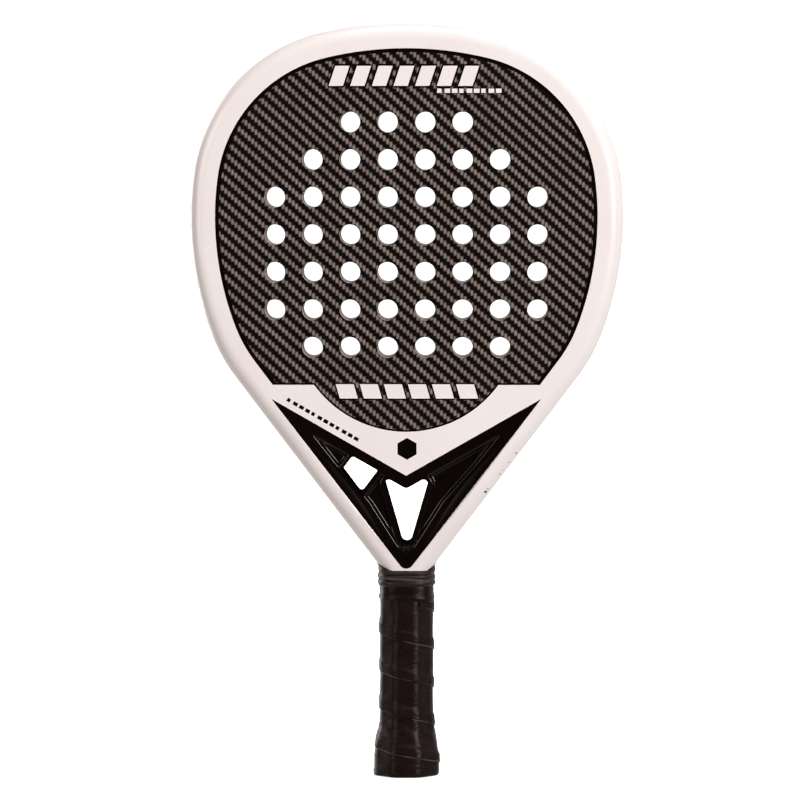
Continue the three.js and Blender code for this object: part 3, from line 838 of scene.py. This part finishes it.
def side_window():
    """Corners of the side window: its top runs along the bar, its foot along the leg."""
    lip, inner_from_middle, reach = 1.7, 16.3, 0.403
    top_drop, leg_depth = BAR_BELOW_EDGE + lip, TUBE_WIDTH + lip
    inner = np.array([inner_from_middle, chevron(inner_from_middle, top_drop)])
    outer = inner + (where_chevron_meets_leg(top_drop, leg_depth) - inner) * reach
    down = np.array([math.sin(LEG_LEAN), -math.cos(LEG_LEAN)])
    corners = []
    for top, order in ((outer, (0, 1)), (inner, (1, 0))):
        run = (leg_depth - leg_inset(*top)) / (leg_inset(*(top + down)) - leg_inset(*top))
        pair = (top + down * run, top)
        corners += [pair[order[0]], pair[order[1]]]
    return [(-x, z, 1.8) for x, z in corners]


def centre_window():
    """Corners of the centre window: a V along the top, closing to a round foot."""
    lip, half_width, lean = 2.9, 14.7, math.radians(16.2)
    dip = chevron(0, BAR_BELOW_EDGE + lip)
    corner = dip + half_width * math.tan(CHEVRON_ANGLE)
    foot = corner - half_width / math.tan(lean)
    return [(0, dip, 3.3), (half_width, corner, 2.6), (0, foot, 3.3), (-half_width, corner, 2.6)]


def rim_depth(z):
    """Depth of the flush rim inside the leg's outer side."""
    return np.interp(z, *zip(*RIM))


def rim_point(height, further):
    """The point on the right leg's rim line, or a little further in, at a height."""
    depth = rim_depth(height) + further
    return (height - on_leg(depth, 0)) / (on_leg(depth, 1) - on_leg(depth, 0)), height


def throat_web():
    """The web between the legs: flush rims, raised lips round the windows and a sunken floor."""
    windows = [(side_window(), SIDE_LIP), (centre_window(), CENTRE_LIP)]
    loops = [filleted(corners, 8) for corners, _ in windows]
    plan = Plan()
    for loop in loops:
        plan.line(loop, closed=True)
    for corners, lip in windows:
        for share in STEP_LINES:
            plan.line(filleted(grown(corners, lip + CREASE * share), 8), closed=True)
    vertex = np.array([0, on_leg(BORDER, 0)])
    plan.line(mirrored([vertex, *reversed(between(where_chevron_meets_leg(0, BORDER), vertex, 2.0))])[::-1])
    for share in STEP_LINES:
        plan.both_sides([rim_point(h, CREASE * share) for h in np.linspace(126, 226, 61)])
    for drop in (BAR_BELOW_EDGE + GAP, *(BAR_RIM + CREASE * share for share in STEP_LINES)):
        end = where_chevron_meets_leg(drop, BORDER - 1)
        middle = np.array([0, chevron(0, drop)])
        right = between(middle, end, 2.0) + [end]
        plan.line([p * (-1, 1) for p in reversed(right)] + right[1:])
    spacing, stagger = 2.5, 0.6
    rows = list(enumerate(np.arange(128, 224, spacing)))
    columns = np.arange(-64, 65, spacing)
    grid = np.array([(x + stagger * (k % 2), z) for x in columns for k, z in rows])

    def floor_share(x, z):
        """How far past the rims and lips a point lies, in millimetres."""
        past = np.minimum(leg_inset(x, z) - rim_depth(z), below_chevron(x, z) - BAR_RIM)
        for loop, (_, lip) in zip(loops, windows):
            past = np.minimum(past, distance_to(loop, x, z) - lip)
        return past

    def inside(x, z):
        between_legs = (leg_inset(x, z) > BORDER) & (below_chevron(x, z) > BAR_BELOW_EDGE + GAP)
        return between_legs & ~within_any(loops, x, z)

    plan.scattered(grid[inside(*grid.T) & (floor_share(*grid.T) > CREASE + 0.5)])

    def front(x, z):
        past = floor_share(x, z)
        sunk = WEB_RECESS * (0.5 - 0.5 * np.cos(math.pi * np.clip(past / CREASE, 0, 1)))
        sag = np.clip((past - CREASE) / 14, 0, 1)
        return -(half_depth(z) - sunk - FLOOR_SAG * eased(sag))

    plan_solid("throat_panel", "throat_web", plan, inside, front, [BLACK, MATT_BLACK],
               wall_paint=constant(1), sharp=40)


# ------------------------ handle


def flare(z):
    """Extra half-width of the butt, with its run smoothed."""
    heights, extra = zip(*FLARE)
    return np.mean([np.interp(z + d, heights, extra) for d in np.linspace(-4, 4, 9)], axis=0)


def around(angle, half_width, corner_radius):
    """X and Y on a section with flats at the sides, front and back.

    It has eight rounded corners, or, where the radius is None, four full ones that clear the neck's.
    """
    if corner_radius is None:
        reach = half_width / (np.abs(np.cos(angle)) ** 2.8 + np.abs(np.sin(angle)) ** 2.8) ** (1 / 2.8)
        return reach * np.cos(angle), reach * np.sin(angle) * DEPTH_RATIO
    eighth = math.pi / 4
    from_flat = np.abs((angle + eighth / 2) % eighth - eighth / 2)
    corner_radius = np.minimum(corner_radius, half_width * 0.999)
    straight = np.arctan2((half_width - corner_radius) * math.tan(eighth / 2), half_width)
    centre = (half_width - corner_radius) / math.cos(eighth / 2)
    off = eighth / 2 - from_flat
    rounded = centre * np.cos(off) + np.sqrt(np.maximum(corner_radius ** 2 - (centre * np.sin(off)) ** 2, 0))
    reach = np.where(from_flat < straight, half_width / np.cos(from_flat), rounded)
    return reach * np.cos(angle), reach * np.sin(angle) * DEPTH_RATIO


HIGHLIGHT_SHARE = 0.018  # of a tape's width, along its lower edge, that is coloured as a painted highlight


def wound_strip(name, turns, start, low, high, outer, thickness, shares, materials, replaced,
                per_turn=96, corner_radius=CORNER_RADIUS, highlight_on=None):
    """A tape wound round the handle, climbing clockwise as seen from above, as one closed solid."""
    rows = int(turns * per_turn) + 1
    turn = np.linspace(0, turns, rows)[:, None]
    share = np.asarray(shares, float)[None, :]
    across = share.shape[1]
    width = high(turn) - low(turn)
    z = low(turn) + width * share
    angle = start - 2 * math.pi * turn + 0 * share
    edge = np.minimum(share, 1 - share) * width
    rounding = 0.55 * thickness * np.clip(1 - edge / 0.8, 0, 1) ** 2
    top = outer(turn, share, z)
    grids = []
    for half_width in (top - rounding, top - thickness):
        x, y = around(angle, half_width, corner_radius)
        grids.append(np.stack([x, y, z], -1).reshape(-1, 3))
    count = rows * across
    index = np.arange(count).reshape(rows, across)
    a, b, c, d = index[:-1, :-1], index[1:, :-1], index[1:, 1:], index[:-1, 1:]
    skin = np.stack([a, d, c, b], -1).reshape(-1, 4)
    rim = np.concatenate([index[:-1, 0], index[-1, :-1], index[:0:-1, -1], index[0, :0:-1]])
    after = np.roll(rim, -1)
    walls = np.stack([rim, after, after + count, rim + count], -1)
    faces = [*skin.tolist(), *(skin[:, ::-1] + count).tolist(), *walls.tolist()]
    slots = np.zeros(len(faces))
    # on the chosen turns the lower edge's faces take the second material, a painted highlight
    if highlight_on is not None:
        slots[:len(skin)] = (highlight_on(turn[:-1]) & (share[:, :-1] < HIGHLIGHT_SHARE)).reshape(-1)
    return piece(name, np.concatenate(grids), faces, materials, slots, replaced, 50)


def ring_solid(name, half_width, z, corner_radius, material, replaced):
    """A closed ring. Its section's points run up its outside; each is a row of values round the handle."""
    rows, steps = z.shape
    angle = np.linspace(0, 2 * math.pi, steps, endpoint=False)[None, :]
    x, y = around(angle + 0 * z, half_width, corner_radius)
    index = np.arange(rows * steps).reshape(rows, steps)
    right, up = np.roll(index, -1, 1), np.roll(index, -1, 0)
    faces = np.stack([index, right, np.roll(up, -1, 1), up], -1).reshape(-1, 4)
    points = np.stack([x, y, z], -1).reshape(-1, 3)
    return piece(name, points, faces.tolist(), [material], np.zeros(len(faces)), replaced, 40)


STRIP_SHARES = (0, 0.008, 0.02, 0.04, 0.08, 0.12, 0.155, 0.18, 0.205, 0.23, 0.26, 0.3, 0.38, 0.46, 0.54,
                0.62, 0.7, 0.78, 0.85, 0.91, 0.96, 0.98, 0.992, 1)


def climbing(width, pitch, bottom, top, first_width):
    """Lower and upper edge of a tape that climbs by a pitch each turn, trimmed level at both ends."""
    start = bottom + first_width - width

    def low(turn):
        return np.maximum(start + pitch * turn, bottom)

    def high(turn):
        return np.minimum(start + pitch * turn + width, top)

    turns = (top - first_width - start) / pitch
    return turns, low, high


def overgrip():
    turns, low, high = climbing(STRIP_WIDTH, PITCH, GRIP_BOTTOM, GRIP_TOP, FIRST_WIDTH)
    overlap, ramp = STRIP_WIDTH - PITCH, 3.0

    def outer(turn, share, z):
        from_edge = z - (GRIP_BOTTOM + FIRST_WIDTH - STRIP_WIDTH + PITCH * turn)
        over = np.clip((overlap + ramp - from_edge) / ramp, 0, 1)
        lift = (STRIP_THICKNESS + 0.03) * eased(over)
        angle = -2 * math.pi * turn
        pull = 0.1 * np.sin(3 * angle + z / 5.5) + 0.07 * np.sin(7 * angle - z / 3.1)
        crease = 0.4 * np.exp(-((z - 28) / 3.6) ** 2) * np.sin(z * 1.9 + 1.5 * angle)
        crease += 0.3 * np.exp(-((z - 12) / 3.0) ** 2) * np.sin(z * 2.4 - angle)
        tuck = 0.5 * np.clip(1 - (z - GRIP_BOTTOM) / 1.6, 0, 1) ** 2
        return GRIP_HALF_WIDTH - 0.35 + flare(z) + lift + pull + crease - tuck

    # the turns whose lower edge is coloured as a painted highlight
    def highlit_turns(turn):
        return (np.sin(9 * turn) + np.sin(2 * math.pi * turn + 0.3) > -0.3) & (turn > 1.2)

    wound_strip("overgrip_wrap", turns, math.radians(92), low, high, outer, STRIP_THICKNESS,
                STRIP_SHARES, [OVERGRIP, EDGE_HIGHLIGHT], ["overgrip"], highlight_on=highlit_turns)


def base_grip():
    width, bottom, first_width, thickness = 29.0, 2.2, 8.0, 1.6
    turns, low, high = climbing(width, width + 0.4, bottom, GRIP_TOP, first_width)

    def outer(turn, share, z):
        return BASE_GRIP_HALF_WIDTH + flare(z)

    made = wound_strip("base_grip_wrap", turns, math.radians(200), low, high, outer, thickness,
                       np.linspace(0, 1, 17), [CUSHION], ["base_grip"], 64)


def finishing_tape():
    """Thin tape wound round the grip's top. Its start peeks out below as a slanted corner on the right."""
    bottom, top = 107.4, 115.9
    turns = 1.6

    corner, corner_turns = 4.4, 0.27

    def low(turn):
        return bottom - corner * np.clip(1 - turn / corner_turns, 0, 1)

    def high(turn):
        return top

    def outer(turn, share, z):
        layer = np.clip((turn - 0.96) / 0.06, 0, 1) * 0.42
        over_grip = np.clip((GRIP_TOP + 1.2 - z) / 2.4, 0, 1)
        grip = 16.0 + 0.55 * over_grip  # half-width
        folds = 0.09 * np.sin(9 * math.pi * turn + z) + 0.06 * np.sin(23 * turn + 1.7 * z)
        loose = 0.3 * np.clip((0.2 - turn) / 0.1, 0, 1) * np.clip((bottom - z) / 3, 0, 1)
        return grip + layer + folds + loose

    # the loose start's lower edge is coloured as a painted highlight
    def highlit_turns(turn):
        return (turn > 0.03) & (turn < 0.19)

    wound_strip("finishing_tape_wrap", turns, math.radians(20), low, high, outer, 0.4,
                (0, 0.016, 0.04, *np.linspace(0.1, 1, 12)), [TAPE, EDGE_HIGHLIGHT],
                ["finishing_tape"], 96, None, highlit_turns)


def neck_reach(angle, z):
    """Half-width of the section that just clears the frame's neck at these angles and heights."""
    narrowest, widest, halvings = 8.0, 22.0, 24
    low, high = np.full(z.shape, narrowest), np.full(z.shape, widest)
    for _ in range(halvings):
        middle = (low + high) / 2
        x, y = around(angle + 0 * z, middle, None)
        covered = (inset(x, z) > 0) & (np.abs(y) < -frame_front(x, z))
        low, high = np.where(covered, middle, low), np.where(covered, high, middle)
    return high


def neck_collar():
    """The rubber band at the neck: three uneven ridges, drawn up to a point along each leg."""
    steps = 144
    bottom, top, ear = 115.4, 124.9, 3.9
    clearance, least_wall = 0.12, 0.35
    angle = np.linspace(0, 2 * math.pi, steps, endpoint=False)
    side = np.abs(around(angle, COLLAR_HALF_WIDTH, None)[0])
    start = np.where(np.cos(angle) > 0, 14.3, 9.8)
    rise = ear * np.clip((side - start) / (COLLAR_HALF_WIDTH - start), 0, 1) ** 1.4
    share = np.linspace(0, 1, 34)[:, None]
    z = bottom + (top - bottom) * share + rise * share ** 3
    wander = 0.22 * np.sin(angle) + 0.12 * np.sin(3 * angle + 1)
    ridge = np.abs(np.sin(math.pi * (3 * share + wander * share * (1 - share) * 4)))
    half_width = 16.75 + 0.75 * ridge ** 0.7 + 0.1 * np.sin(5 * angle + 9 * share)
    half_width = half_width - 0.5 * share ** 6
    inner = neck_reach(angle, z) + clearance
    half_width = np.maximum(half_width, inner + least_wall)
    ring_solid("neck_collar_band", np.concatenate([half_width, inner[::-1]]),
               np.concatenate([z, z[::-1]]), None, RUBBER, ["neck_collar"])


def collar_strand():
    """The band's free end, half sunk in the ridges that it crosses at the front. Its lighter colour is a
    painted highlight.
    """
    turns = 0.3

    def low(turn):
        return 117.2 + 9.0 * turn

    def high(turn):
        return 119.6 + 6.0 * turn

    def outer(turn, share, z):
        ends = np.clip(turn / 0.04, 0, 1) * np.clip((turns - turn) / 0.04, 0, 1)
        return 17.1 + 0.75 * ends * (0.6 + 0.4 * np.sin(math.pi * share))

    wound_strip("collar_strand", turns, math.radians(322), low, high, outer, 0.7,
                np.linspace(0, 1, 9), [HIGHLIT_STRAND], (), 120, None)


def butt_cap():
    """The moulded cap: a flared skirt, a rounded rim and a wrist cord's hole. It has no tack holes."""
    steps = 96
    skirt_top, pallet, bore, floor = 36.0, 11.8, 4.0, 3.0
    # half-width, height and corner radius, up the outside and down the inside
    outside = [(14.6, 0.0, 5), (15.6, 0.12, 5), (16.1, 0.45, 5), (16.4, 0.95, 5)]
    outside += [(12.9 + float(flare(h)), h, 4) for h in np.linspace(1.6, skirt_top, 24)]
    inside = [(pallet, skirt_top, 4), (pallet, floor + 0.4, 4), (pallet - 0.4, floor, 4)]
    inside += [(bore + 0.4, floor, bore + 0.4), (bore, floor - 0.4, bore), (bore, 0.5, bore)]
    inside += [(bore + 0.15, 0.15, bore + 0.15), (bore + 0.5, 0.0, bore + 0.5)]
    section = np.array(outside + inside)[:, :, None] * np.ones(steps)
    ring_solid("butt_cap_moulding", section[:, 0], section[:, 1], section[:, 2], CAP,
               ["butt_cap"])


def handle_strip():
    """The filler in the stem's slot."""
    half_width = STEM_SLOT - GLUE
    plan = Plan()
    plan.rectangle(half_width, STEM_FOOT, SLOT_TOP - 0.4)
    plan_solid("handle_filler_strip", "handle_filler", plan, lambda x, z: np.abs(x) < half_width,
               constant(GLUE - DEPTH_RATIO * STEM_HALF_WIDTH), [CORE_FOAM])


def dress(node, material):
    """Gives a CAD node that stays its material."""
    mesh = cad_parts[node].data
    mesh.materials.clear()
    mesh.materials.append(material)


# ------------------------ studio


def aimed(name, data, place, target):
    """A camera or a lamp at a place, in metres, looking at a target."""
    made = linked(name, data)
    made.location = place
    made.rotation_euler = (Vector(target) - Vector(place)).to_track_quat("-Z", "Y").to_euler()
    return made


def camera():
    data = bpy.data.cameras.new("camera")
    data.lens = 220.2
    data.sensor_width = 36
    data.clip_end = 60
    scene.camera = aimed("camera", data, (0.042, -2.95, 0.387), (-0.004, 0, 0.227))


def area_light(name, place, target, size, power, color=(1, 1, 1)):
    data = bpy.data.lights.new(name, "AREA")
    data.shape = "RECTANGLE"
    data.size, data.size_y = size
    data.energy = power
    data.color = color
    aimed(name, data, place, target).visible_camera = False


def backdrop():
    """A pale floor that sweeps up all round into a pale wall."""
    radius, sweep, height, steps = 7.0, 2.0, 6.0, 96
    below = 0.0004  # of the floor under the butt
    profile = [(r, 0.0) for r in (0.0, 0.3, 1.0, 2.5, 5.0)]
    profile += [(radius - sweep + sweep * math.sin(a), sweep - sweep * math.cos(a))
                for a in np.linspace(0, math.pi / 2, 13)]
    profile.append((radius, height))
    turns = [2 * math.pi * k / steps for k in range(steps)]
    points = [(0, 0, -below)]
    for r, z in profile[1:]:
        points += [(r * math.cos(turn), r * math.sin(turn), z - below) for turn in turns]
    faces = [(0, 1 + k, 1 + (k + 1) % steps) for k in range(steps)]
    for ring in range(len(profile) - 2):
        base = 1 + ring * steps
        for k in range(steps):
            a, b = base + k, base + (k + 1) % steps
            faces.append((a, a + steps, b + steps, b))
    mesh = bpy.data.meshes.new("backdrop")
    mesh.from_pydata(points, [], faces)
    mesh.shade_smooth()
    pale = Surface("pale_studio", (0.9, 0.9, 0.9), 0.9, Emission_Color=(1, 1, 1, 1), Emission_Strength=0.97)
    pale.color(pale.mix(pale.noise(0.002, 2.0), (0.89, 0.89, 0.89), (0.91, 0.91, 0.91)))
    mesh.materials.append(pale.material)
    made = linked("backdrop", mesh)
    made.visible_glossy = False
    made.visible_diffuse = False
    made.visible_shadow = False


def surroundings():
    """Even light from behind the racket and from the floor, with near darkness in front of it."""
    world = bpy.data.worlds.new("studio")
    world.use_nodes = True
    tree = world.node_tree
    direction = tree.nodes.new("ShaderNodeTexCoord").outputs["Generated"]
    split = tree.nodes.new("ShaderNodeSeparateXYZ")
    total = tree.nodes.new("ShaderNodeMath")
    background = tree.nodes["Background"]
    set_inputs(background, Color=(1, 0.97, 0.945, 1))
    tree.links.new(direction, split.inputs[0])
    for i, (axis, levels) in enumerate(((1, (-0.35, 0.65, 0.006, 0.6)), (2, (-0.2, -0.75, 0.0, 0.45)))):
        fade = tree.nodes.new("ShaderNodeMapRange")
        fade.interpolation_type = "SMOOTHSTEP"
        for socket, value in zip(list(fade.inputs)[1:5], levels):
            socket.default_value = value
        tree.links.new(split.outputs[axis], fade.inputs["Value"])
        tree.links.new(fade.outputs[0], total.inputs[i])
    tree.links.new(total.outputs[0], background.inputs["Strength"])
    scene.world = world


def studio():
    surroundings()
    scene.view_settings.view_transform = "Standard"
    middle = (0, 0, 0.25)
    area_light("key", (2.1, -2.3, 1.1), middle, (0.9, 1.6), 95)
    area_light("fill", (-2.4, -2.2, 0.9), middle, (1.6, 1.8), 40, (1, 0.93, 0.88))
    area_light("top", (0.2, -0.6, 3.0), middle, (1.6, 1.6), 36)
    area_light("left_rim", (-2.0, 1.9, 0.6), middle, (1.0, 2.0), 32, (1, 0.95, 0.92))
    area_light("back", (0.6, 2.8, 1.6), middle, (1.6, 1.4), 36)


# ------------------------ the racket

camera()
frame_shell()
for side, name in ((-1, "front"), (1, "back")):
    face_plate(f"{name}_face_plate", f"{name}_face", side)
foam_core()
throat_bar()
throat_web()
overgrip()
base_grip()
finishing_tape()
neck_collar()
collar_strand()
butt_cap()
handle_strip()
for name in ("front", "back"):
    dress(f"handle_pallet_{name}", CORE_FOAM)
    dress(f"butt_cap_tack_{name}", STEEL)
backdrop()
studio()
